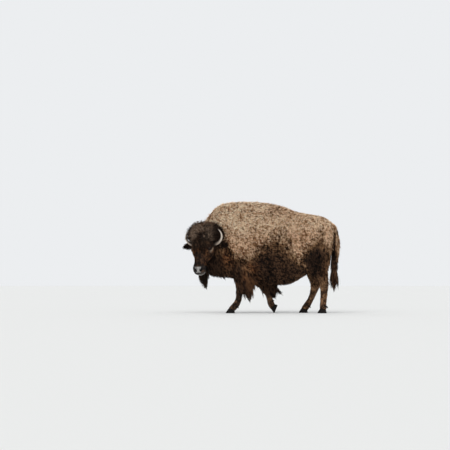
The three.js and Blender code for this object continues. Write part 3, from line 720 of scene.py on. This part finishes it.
def coat_colour(finish, along=None):
    """The coat's colour from its markings: sun-bleached at the tips, and darkened towards the roots by
    painted shade.
    """
    pale, rust, shank = finish.rows("markings")
    black, grizzle, bleached = finish.rows("shades")
    own, nest, stored = finish.rows("lock")
    along = stored if along is None else along
    drawn_out = {0: finish.place(), 1: (1.0, 1.0, 0.45)}  # the patches are longer up and down
    drawn = finish.node("ShaderNodeVectorMath", {"operation": "MULTIPLY"}, drawn_out)
    drift = finish.noise(7.0, 3.0, drawn)
    fleck = finish.noise(42.0, 2.0, drawn)
    # Painted shade: the lightness falls towards each tuft's root (along), with random tone by lock, tuft and
    # place added to it.
    light = (along * 0.60 + nest * 0.85 + own * 0.30 + drift * 1.3 + fleck * 2.0 - 1.83).held()
    shades = {name: finish.ramp(light, zip(LIGHTNESS, tones)) for name, tones in COAT_TONES.items()}
    blackest = finish.mix(light, tone(3, 2, 2), tone(40, 28, 22))
    grey = finish.mix(light, tone(30, 20, 15), tone(222, 194, 168))
    colour = finish.mix((rust * (0.25 + nest)).held(), shades["dark"], shades["rusty"])
    colour = finish.mix((shank * 0.8).held(), colour, shades["brown"])
    colour = finish.mix((black * 0.85).held(), colour, blackest)
    tips = (along * 1.6 - 0.35 + own * 0.3 - (1 - grizzle) * 0.3).held()
    patch = ((grizzle - 0.8) * 5.0).held() * 0.65
    colour = finish.mix((grizzle * tips * 0.9 + patch).held(), colour, grey)
    # Lock by lock, the coat is woolly or dark along the pale edge.
    torn = (nest * 0.6 + own * 0.2 + fleck * 2.0 + drift * 1.0 - 1.90) * 0.5
    mixed = pale + torn * (pale * (1 - pale) * 4.0).held()
    colour = finish.mix((mixed * 2.4).held(), colour, shades["brown"])
    woolly = finish.mix(bleached, shades["tan"], shades["bleached"])
    return finish.mix((mixed * 2.2 - 0.9).held(), colour, woolly)


# The skin shows between the tufts, so it has the coat's markings, darkened by painted shade as at the roots
# of the tufts; the nose, lips and lids are bare.
hide_finish = Finish(bpy.data.materials.new("hide"))
pad, hole_shade, rim = hide_finish.rows("bare")
pebble = hide_finish.node("ShaderNodeTexVoronoi", {}, {"Vector": hide_finish.place(), "Scale": 420.0})
# Painted wet sheen: light patches on the dark nose pad, and painted highlights on the tops of its pebbles.
wet_sheen = (hide_finish.noise(30.0, 4.0) * 4.2 - 1.6).held()
nose = hide_finish.mix(wet_sheen, tone(34, 31, 30), tone(150, 146, 141))
nose = hide_finish.mix((1.1 - pebble * 1.1).held() * 0.4, nose, tone(196, 192, 188))
bare = hide_finish.mix(rim, nose, tone(24, 18, 16))
# Painted shade: near black inside the nostrils and along the shut mouth.
bare = hide_finish.mix(hole_shade, bare, tone(12, 8, 8))
wet = (pad + rim * 0.7).held()
# The coat colour here is taken near the tufts' roots, as painted shade.
hide_finish.feed(hide_finish.surface, {
    "Base Color": hide_finish.mix((pad + rim + hole_shade).held(), coat_colour(hide_finish, 0.1), bare),
    "Roughness": 0.85 - wet * 0.45, "Specular IOR Level": 0.3})
hide_finish.bump(pebble * wet * -0.6 + hide_finish.noise(260.0, 3.0) * (1 - wet), 0.0014)
hide.materials.clear()
hide.materials.append(hide_finish.material)
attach(skin, "root")
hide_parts(*FLESH, "left_ear", "right_ear")

# ---------------------------------------------------------------- coat

# The winter coat over the skin: solid tufts of wool and hair that lie along the body and overlap, gathered at
# their tips into locks. It grows from the skin, short on the face and legs and a hand long on the chaps.

# Each kind has its length, its rise from the skin to the tips, its half width, tufts per square metre, the
# reach of a lock, how far its tufts draw together, its waviness, its segments, and its fall.
HAIR = {
    "wool": (0.038, 0.026, 0.0024, 20500, 0.014, 0.62, 0.18, 2, (0.02, 0, -0.10)),
    "mane": (0.070, 0.022, 0.0026, 15500, 0.020, 0.60, 0.07, 3, (0.04, 0, -0.32)),
    "face": (0.019, 0.0080, 0.0014, 68000, 0.009, 0.50, 0.05, 1, (0, 0, -0.05)),
    "muzzle": (0.006, 0.002, 0.0007, 16000, 0.006, 0.2, 0.0, 1, (0, 0, 0)),
    "crown": (0.072, 0.038, 0.0019, 31000, 0.009, 0.55, 0.20, 3, (0, 0, -0.06)),
    "thigh": (0.034, 0.013, 0.0022, 18500, 0.012, 0.50, 0.08, 2, (0.02, 0, -0.10)),
    "arm": (0.066, 0.017, 0.0024, 24000, 0.020, 0.55, 0.10, 3, (0.12, 0, -0.35)),
    "shank": (0.016, 0.0055, 0.0013, 50000, 0.008, 0.40, 0.04, 1, (0, 0, -0.10)),
    "dock": (0.060, 0.015, 0.0022, 34000, 0.012, 0.50, 0.08, 2, (0.02, 0, -0.40)),
    "switch": (0.150, 0.024, 0.0020, 30000, 0.014, 0.75, 0.06, 3, (0, 0, -0.72)),
    "chaps": (0.160, 0.036, 0.0024, 32000, 0.030, 0.80, 0.08, 4, (0.20, 0, -0.60)),
    "beard": (0.105, 0.026, 0.0020, 66000, 0.018, 0.60, 0.08, 3, (-0.02, 0, -0.70)),
    "ear": (0.038, 0.013, 0.0015, 56000, 0.012, 0.50, 0.12, 2, (0, 0, -0.15)),
}
STRAYS = {"crown": 0.16, "ear": 0.14, "mane": 0.01}  # the share of tufts and of locks that stand out
STRAY = 0.06  # elsewhere
TUFT_SECTION = np.array(((-1.0, -0.12), (1.0, -0.12), (0.0, 0.62)))  # across the tuft, and out from the skin
GIRTH = {1: (1.0,), 2: (0.8, 1.0), 3: (0.72, 1.0, 0.66), 4: (0.6, 1.0, 0.86, 0.5)}  # of each ring
SUNK = 0.0015  # how deep a root sits in the skin
PATCH = 0.003  # the side of a tuft's place in OFBake

# No tuft stands far outside the box of the solids.
lows, highs = zip(*map(corners, (*FLESH, *CORES, "left_ear", "right_ear")))
box_low, box_high = np.min(lows, axis=0), np.max(highs, axis=0)
COAT_REACH = 0.03 * (box_high - box_low) + 0.004

# The hanging masses keep to the shapes of their solids, in which their locks gather to points.
HANGING = {"chaps": ("left_fore_chaps", "right_fore_chaps"), "beard": ("beard",), "switch": ("tail_tuft",)}
RAGGED = (0.005, 0.024)  # how far the tips pass those shapes, in the mean and spread
SOLID_REACH = 0.035


def kept_within(spine, stations, nodes, rng):
    """Tufts whose points are drawn back onto the surface of some solids where they reach beyond it."""
    surface, _ = surface_of([(points, faces) for points, _, faces in map(shape_of, nodes)])
    shift = np.zeros((len(spine), 3))
    for i, tip in enumerate(map(Vector, spine[:, -1].tolist())):
        place, normal, _, apart = surface.find_nearest(tip)
        out = (tip - place).dot(normal)
        if out > 0 or apart > SOLID_REACH:
            past = min(max(out, 0), RAGGED[0] + RAGGED[1] * rng.normal())
            shift[i] = np.array(place - tip) + np.array(normal) * past
    return spine + shift[:, None] * (stations**1.5)[None, :, None]


def locks_of(roots, reach, rng):
    """The heart of the lock that each root belongs to."""
    tree = KDTree(len(roots))
    for i, root in enumerate(roots.tolist()):
        tree.insert(root, i)
    tree.balance()
    heart = np.full(len(roots), -1)
    for i in rng.permutation(len(roots)):
        if heart[i] < 0:
            for _, j, _ in tree.find_range(roots[i], reach * rng.uniform(0.7, 1.3)):
                if heart[j] < 0:
                    heart[j] = i
    return heart


def lay_tufts(seed, kind, roots, normals, lies, size):
    """The points of tufts drawn together into locks, and their lengthwise places and tones."""
    length, rise, width, _, reach, draw, wave, segments, fall = HAIR[kind]
    rng = np.random.default_rng(seed)
    count, stray = len(roots), STRAYS.get(kind, STRAY)
    heart = locks_of(roots, reach, rng)
    own = rng.random((count, 4))
    nest = rng.random((count, 4))[heart]
    sideways = np.cross(normals, lies)
    turned = unit(lies + sideways * ((own[:, :1] - 0.5) * 0.5 + (nest[:, :1] - 0.5) * 0.9))
    loose = rng.random(count) < stray
    proud = nest[:, 3] < stray
    long = 0.7 + 0.35 * own[:, 1] + 0.35 * nest[:, 1] + 0.45 * loose * own[:, 3] + 0.4 * proud
    long = length * size * long
    high = rise * size * (0.50 + 0.25 * own[:, 2] + 0.60 * nest[:, 2] + 0.8 * loose + 0.6 * proud)
    high = np.minimum(high, 0.85 * long)
    run = np.sqrt(long**2 - high**2)
    fallen = np.array(fall) * long[:, None]
    tips = roots + turned * run[:, None] + normals * high[:, None] + fallen
    pull = (tips[heart] - tips) * (draw * (0.6 + 0.8 * own[:, 3]) * (1 - 0.8 * loose))[:, None]
    stations = np.linspace(0, 1, segments + 1)
    spine = []
    for t in stations:
        bend = np.sin(2 * math.pi * (0.9 * t + nest[:, 3])) - np.sin(2 * math.pi * nest[:, 3])
        spine.append(
            roots - normals * SUNK
            + turned * (run * t)[:, None]
            + normals * (high * (1 - (1 - t) ** 1.8))[:, None]
            + sideways * (wave * long * bend * (0.4 + 0.6 * t))[:, None]
            + fallen * t**1.4
            + pull * t**1.6
        )
    spine = np.stack(spine, axis=1)
    if kind in HANGING:
        spine = kept_within(spine, stations, HANGING[kind], rng)
    spine = np.clip(spine, box_low - COAT_REACH, box_high + COAT_REACH)
    tangent = unit(np.gradient(spine, axis=1))
    across = unit(np.cross(normals[:, None], tangent))
    above = np.cross(tangent, across)
    rings = []
    for s, girth in enumerate(GIRTH[segments]):
        for sideward, outward in TUFT_SECTION:
            offset = across[:, s] * sideward + above[:, s] * outward
            breadth = width * girth * (0.7 + 0.6 * own[:, 0]) * (1 - 0.35 * loose)
            rings.append(spine[:, s] + offset * breadth[:, None])
    along = np.repeat(stations[:-1], 3).tolist() + [1.0]
    return np.stack(rings + [spine[:, -1]], axis=1), np.array(along), own[:, 0], nest[:, 0]


def tuft_faces(segments):
    """The triangles of one tuft: its root, its sides from ring to ring, and its point."""
    faces = [(0, 2, 1)]
    for s in range(segments - 1):
        for k in range(3):
            a, b = 3 * s + k, 3 * s + (k + 1) % 3
            faces += [(a, b, b + 3), (a, b + 3, a + 3)]
    last = 3 * (segments - 1)
    faces += [(last + k, last + (k + 1) % 3, last + 3) for k in range(3)]
    return np.array(faces)


first, second, third = skin_points[skin_triangles].transpose(1, 0, 2)
triangle_area = np.linalg.norm(np.cross(second - first, third - first), axis=1) / 2
triangle_middle = skin_points[skin_triangles].mean(axis=1)
triangle_kind = kind_shares[skin_triangles].sum(axis=1).argmax(axis=1)


def coat_piece(seed, name, kinds, inside, scale, density):
    """Solid tufts over the parts of the skin that bear some kinds of coat, as one mesh."""
    rng = np.random.default_rng(seed)
    chosen = np.ones(len(triangle_middle), bool) if inside is None else inside(triangle_middle)
    laid, start = {part: [] for part in ("points", "faces", "uv", "markings", "shades", "lock")}, 0
    for kind in kinds:
        tufts_per_area, segments = HAIR[kind][3], HAIR[kind][7]
        own = np.flatnonzero(chosen & (triangle_kind == KINDS.index(kind)))
        total = np.cumsum(triangle_area[own])
        count = int(total[-1] * tufts_per_area * density)
        drawn = np.searchsorted(total, (np.arange(count) + rng.random(count)) / count * total[-1])
        picks = own[drawn.clip(0, len(own) - 1)]
        a, b = rng.random((2, count))
        a, b = np.where(a + b > 1, 1 - a, a), np.where(a + b > 1, 1 - b, b)
        shares = np.stack([1 - a - b, a, b], axis=1)[:, :, None]
        at = lambda rows: (rows[skin_triangles[picks]] * shares).sum(axis=1)
        roots, normals, lies = at(skin_points), unit(at(skin_normals)), at(lie)
        lies = unit(lies - normals * (lies * normals).sum(axis=1, keepdims=True))
        size = np.ones(count) if scale is None else scale(roots)
        points, along, own_tone, nest_tone = lay_tufts(seed, kind, roots, normals, lies, size)
        each = len(along)
        starts = start + each * np.arange(count)
        start += count * each
        laid["points"].append(points.reshape(-1, 3))
        laid["faces"].append((tuft_faces(segments)[None] + starts[:, None, None]).reshape(-1, 3))
        whole = np.eye(len(KINDS))[np.full(count, KINDS.index(kind))]
        for part, rows in zip(("markings", "shades"), markings(roots, whole)):
            laid[part].append(np.repeat(rows, each, axis=0))
        tones = [np.repeat(own_tone, each), np.repeat(nest_tone, each), np.tile(along, count)]
        laid["lock"].append(np.stack(tones, axis=1))
        root_uv = (skin_uv[triangle_loops[picks]] * shares).sum(axis=1)
        corner = np.column_stack([np.tile((-0.5, 0.5, 0.0), segments).tolist() + [0.0], along - 0.5]) * PATCH
        laid["uv"].append((root_uv[:, None] + corner[None]).reshape(-1, 2))
    laid = {part: np.concatenate(rows) for part, rows in laid.items()}
    mesh = mesh_of(name, laid["points"], laid["faces"])
    for part in ("markings", "shades", "lock"):
        add_rows(mesh, part, laid[part])
    corner_uv = laid["uv"][laid["faces"].ravel()]
    mesh.uv_layers.new(name="OFBake").data.foreach_set("uv", corner_uv.astype(np.float32).ravel())
    piece = placed(name, mesh)
    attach(piece, "root")
    return piece


def coat_finish(name, roughness):
    finish = Finish(bpy.data.materials.new(name))
    finish.feed(finish.surface, {
        "Base Color": coat_colour(finish), "Roughness": roughness, "Specular IOR Level": 0.10})
    return finish


wool_finish = coat_finish("wool", 0.82)
hair_finish = coat_finish("hair", 0.62)


def wool_length(roots):
    """The wool is longest on the hump and shoulder and shorter behind the ribs."""
    x, _, z = roots.T
    return 1.1 - 0.40 * fade(x, 0.25, 0.65) - 0.15 * fade(0.75 - z, 0, 0.2)


def face_length(roots):
    """The hair of the face is long and woolly under the bonnet and shortens towards the nose."""
    down, across, _ = folded(in_head(roots)).T
    middle = 1 - fade(across, 0.10, 0.14)
    return 0.75 + (1.5 * (1 - fade(down, -0.02, 0.14)) + 1.6 * (1 - fade(down, -0.06, 0.01))) * middle


def bonnet_length(roots):
    """The bonnet stands highest over the brow and lies a little closer on her left, behind the horn."""
    return 1.0 - 0.30 * fade(-in_head(roots)[:, 1], 0.12, 0.17)


def chaps_length(roots):
    """The chaps hang longest from their lower edge, most of all on the leg that trails."""
    _, y, z = roots.T
    return 0.75 + 0.5 * (1 - fade(z, 0.34, 0.52)) + 0.45 * (y > 0) * (1 - fade(z, 0.30, 0.46))


RIBS = 0.12  # where the wool of the shoulder passes into that of the loin
BELLY = -0.14  # from the edge of the markings, where the wool passes into the thinner hair of the belly
BELLY_DENSITY = 0.55


def on_belly(places):
    return places[:, 2] - edge_at(places[:, 0]) <= BELLY


def fleece(left, fore):
    """Tells which places lie on one quarter of the upper body."""
    return lambda places: ((places[:, 1] < 0) == left) & ((places[:, 0] < RIBS) == fore) & ~on_belly(places)


# Each piece has its kinds of coat, its place, its slot, finish and length, and the solids that it stands for.
PIECES = [
    ("left_shoulder_wool", ("wool",), fleece(True, True), "coat", wool_finish, wool_length, ()),
    ("left_loin_wool", ("wool",), fleece(True, False), "coat", wool_finish, wool_length, ()),
    ("right_shoulder_wool", ("wool",), fleece(False, True), "coat", wool_finish, wool_length, ()),
    ("right_loin_wool", ("wool",), fleece(False, False), "coat", wool_finish, wool_length, ()),
    ("belly_hair", ("wool",), on_belly, "dark_coat", wool_finish, wool_length, ()),
    ("mane", ("mane",), None, "dark_coat", wool_finish, None, ()),
    ("face_hair", ("face", "muzzle"), None, "dark_coat", hair_finish, face_length, ()),
    ("bonnet_wool", ("crown",), None, "long_hair", hair_finish, bonnet_length, ("bonnet",)),
    ("thigh_hair", ("thigh",), None, "dark_coat", wool_finish, None, ()),
    ("arm_hair", ("arm",), None, "dark_coat", hair_finish, None, ()),
    ("leg_hair", ("shank",), None, "dark_coat", hair_finish, None, ()),
    ("chaps_hair", ("chaps",), None, "long_hair", hair_finish, chaps_length, HANGING["chaps"]),
    ("beard_hair", ("beard",), None, "long_hair", hair_finish, None, ("beard",)),
    ("tail_hair", ("dock", "switch"), None, "long_hair", hair_finish, None, ("tail_tuft",)),
    ("ear_hair", ("ear",), None, "long_hair", hair_finish, None, ()),
]
for seed, (name, kinds, inside, slot, finish, scale, stands_for) in enumerate(PIECES, 1):
    piece = coat_piece(seed, name, kinds, inside, scale, BELLY_DENSITY if inside is on_belly else 1.0)
    piece.data.materials.append(finish.material)
    if stands_for:
        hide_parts(*stands_for)

# ---------------------------------------------------------------- horns

# Each horn is a sheath of keratin over a core of bone that grows from the side of the skull: grey and ringed
# at its root in the hair, where painted shade darkens it, worn pale along the curve, and darker at the point.
# Painted shade darkens the inner side of the curve too. On the mount they are her own.
HORN_VOXEL = 0.0035
HORN_ROUNDS = 12
CURVE_CENTRE = (0.185, 0.185)  # across and up from the point between the eyes
CURVE_START, CURVE_SPAN = 120, 185  # the degrees below level at which the curve starts, and its whole turn
CURVE_STEPS = 40


def rounded(name, nodes, voxel, rounds):
    """Solids fused into one mesh with their edges worn round, and its points."""
    made = fused(name, [(points, faces) for points, _, faces in map(shape_of, nodes)], voxel)
    edges, before = edges_of(made), points_of(made)
    after = smoothed(before, edges, rounds)
    outward = moved(made, after)
    lost = ((before - after) * outward).sum(axis=1, keepdims=True)
    after = after + outward * smoothed(lost, edges, rounds)
    moved(made, after)
    return made, after


horn_finish = Finish(bpy.data.materials.new("horn"))
growth, inner, _ = horn_finish.rows("growth")
grain = horn_finish.noise(34.0, 4.0)
fine = horn_finish.noise(160.0, 3.0)
# Painted shade keeps the root near black where it sits in the hair; the curve is worn pale and the point
# darker.
sheath = horn_finish.ramp((growth + grain * 0.16 - 0.08).held(), (
    (0.0, (30, 25, 22)), (0.13, (70, 60, 52)), (0.25, (176, 160, 144)), (0.48, (214, 200, 184)),
    (0.86, (214, 202, 188)), (1.0, (120, 104, 92))))
# Painted shade darkens the inner side of the curve.
sheath = horn_finish.mix((inner * 0.85 + grain * 0.3 - 0.12).held(), sheath, tone(58, 48, 42))
horn_finish.feed(horn_finish.surface, {
    "Base Color": horn_finish.mix((fine * 1.6 - 0.62).held() * 0.4, sheath, tone(110, 96, 84)),
    "Roughness": 0.36 + grain * 0.2, "Specular IOR Level": 0.45})
ring = (growth * 150.0 + grain * 5.0).math("SINE") * (0.62 - growth).held()
horn_finish.bump(ring * 0.5 + fine * 0.5, 0.0016)

for side, node in ((-1, "left_horn"), (1, "right_horn")):
    made, points = rounded(node + "_sheath", [node], HORN_VOXEL, HORN_ROUNDS)
    place = (points - brow_point) @ np.stack([rightward * side, upward]).T - CURVE_CENTRE
    grown = (np.degrees(np.arctan2(place[:, 1], place[:, 0])) + CURVE_START) / CURVE_SPAN
    reach, step = np.linalg.norm(place, axis=1), np.round(grown * CURVE_STEPS)
    middle = np.array([reach[step == here].mean() for here in step])
    # The inner side of the curve, which gets painted shade.
    inner = fade(middle - reach, -0.010, 0.010)  # the side towards the middle of the curve
    add_rows(made, "growth", np.column_stack([np.clip(grown, 0, 1), inner, 0 * grown]))
    made.materials.append(horn_finish.material)
    sheath_piece = placed(node + "_sheath", made)
    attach(sheath_piece, "root")
    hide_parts(node)

# ---------------------------------------------------------------- hooves

# Each foot stands on two claws of black horn, with two small dewclaws behind the pastern. They grow from the
# coronet down, so their faint rings run level round them, and snow and stubble keep their edges worn.
HOOF_VOXEL = 0.0028
HOOF_ROUNDS = 4
hoof_finish = Finish(bpy.data.materials.new("hoof"))
worn = hoof_finish.noise(46.0, 4.0)
height = hoof_finish.node("ShaderNodeSeparateXYZ", {}, {0: hoof_finish.place()}, out=2)
hoof_finish.feed(hoof_finish.surface, {
    "Base Color": hoof_finish.mix((worn * 1.8 - 0.6).held(), tone(8, 6, 5), tone(30, 23, 18)),
    "Roughness": 0.48 + worn * 0.3, "Specular IOR Level": 0.15})
hoof_finish.bump((height * 900.0 + worn * 4.0).math("SINE") * 0.4 + worn, 0.0012)

for foot in ("left_fore", "right_fore", "left_hind", "right_hind"):
    nodes = [f"{foot}_{part}_{place}" for part in ("claw", "dewclaw") for place in ("outer", "inner")]
    made, _ = rounded(foot + "_hooves", nodes, HOOF_VOXEL, HOOF_ROUNDS)
    made.materials.append(hoof_finish.material)
    hooves = placed(foot + "_hooves", made)
    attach(hooves, "root")
    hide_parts(*nodes)

# ---------------------------------------------------------------- eyes

# Glass eyes of the taxidermist's kind: a dark brown iris with a level, oblong pupil behind a clear cornea,
# set into the sockets before the lids are drawn over them.
CORNEA = 0.035  # how far it bulges, of the eye's radius
eye_finish = Finish(bpy.data.materials.new("eye"))
level, upright, _ = eye_finish.rows("iris")
off = (level * level + upright * upright).math("SQRT")
streaky = eye_finish.noise(320.0, 3.0)
iris = eye_finish.mix((streaky * 1.5 - 0.3).held(), tone(30, 17, 10), tone(74, 44, 26))
iris = eye_finish.mix((off * 9.0 - 4.6).held(), iris, tone(14, 9, 8))
pupil = ((level * 2.9) ** 2.0 + (upright * 5.6) ** 2.0).math("SQRT")
iris = eye_finish.mix((6.5 - pupil * 6.0).held(), iris, tone(4, 3, 4))
eye_finish.feed(eye_finish.surface, {
    "Base Color": iris, "Roughness": 0.06, "Specular IOR Level": 0.4})

facings, faces = ball_of(5)
for side, node in ((-1, "left_eye"), (1, "right_eye")):
    look = unit(GAZE * (1, side, 1) @ head_axes)
    right_of_eye = unit(np.cross(look, upward))
    over_eye = np.cross(right_of_eye, look)
    iris_places = np.stack([facings @ right_of_eye, facings @ over_eye, facings @ look], axis=1)
    bulge = 1 + CORNEA * fade(iris_places[:, 2], 0.84, 0.97)
    made = mesh_of(node + "_glass", middle_of(node) + facings * (EYE_RADIUS * bulge)[:, None], faces)
    add_rows(made, "iris", iris_places)
    made.materials.append(eye_finish.material)
    glass = placed(node + "_glass", made)
    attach(glass, "root")
    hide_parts(node)

# ---------------------------------------------------------------- floor and light

# She stands on a wide, matt, pale floor in an open studio. Even light comes from all round, and one broad
# lamp high on her left lays a soft shadow under her.
FLOOR_RADIUS = 150
floor = bmesh.new()
bmesh.ops.create_circle(floor, cap_ends=True, segments=64, radius=FLOOR_RADIUS)
floor_mesh = bpy.data.meshes.new("floor")
floor.to_mesh(floor_mesh)
floor.free()
ground = placed("floor", floor_mesh)
floor_finish = Finish(bpy.data.materials.new("floor"))
floor_finish.feed(floor_finish.surface, {"Base Color": tone(235, 235, 233), "Roughness": 0.9})
floor_mesh.materials.append(floor_finish.material)

AIR_LIGHT = 0.80  # of full white, which is what the camera sees straight
world = bpy.data.worlds.new("studio")
bpy.context.scene.world = world
air = Finish(world, "Background")
seen = air.node("ShaderNodeLightPath", {}, {}, out="Is Camera Ray")
air.feed(air.surface, {"Color": tone(236, 238, 240), "Strength": seen * (1 - AIR_LIGHT) + AIR_LIGHT})

lamp = bpy.data.lights.new("sky", "SUN")
lamp.energy = 1.4
lamp.angle = math.radians(60)
sky_light = placed("sky", lamp)
sky_light.rotation_euler = (math.radians(40), math.radians(-12), 0)
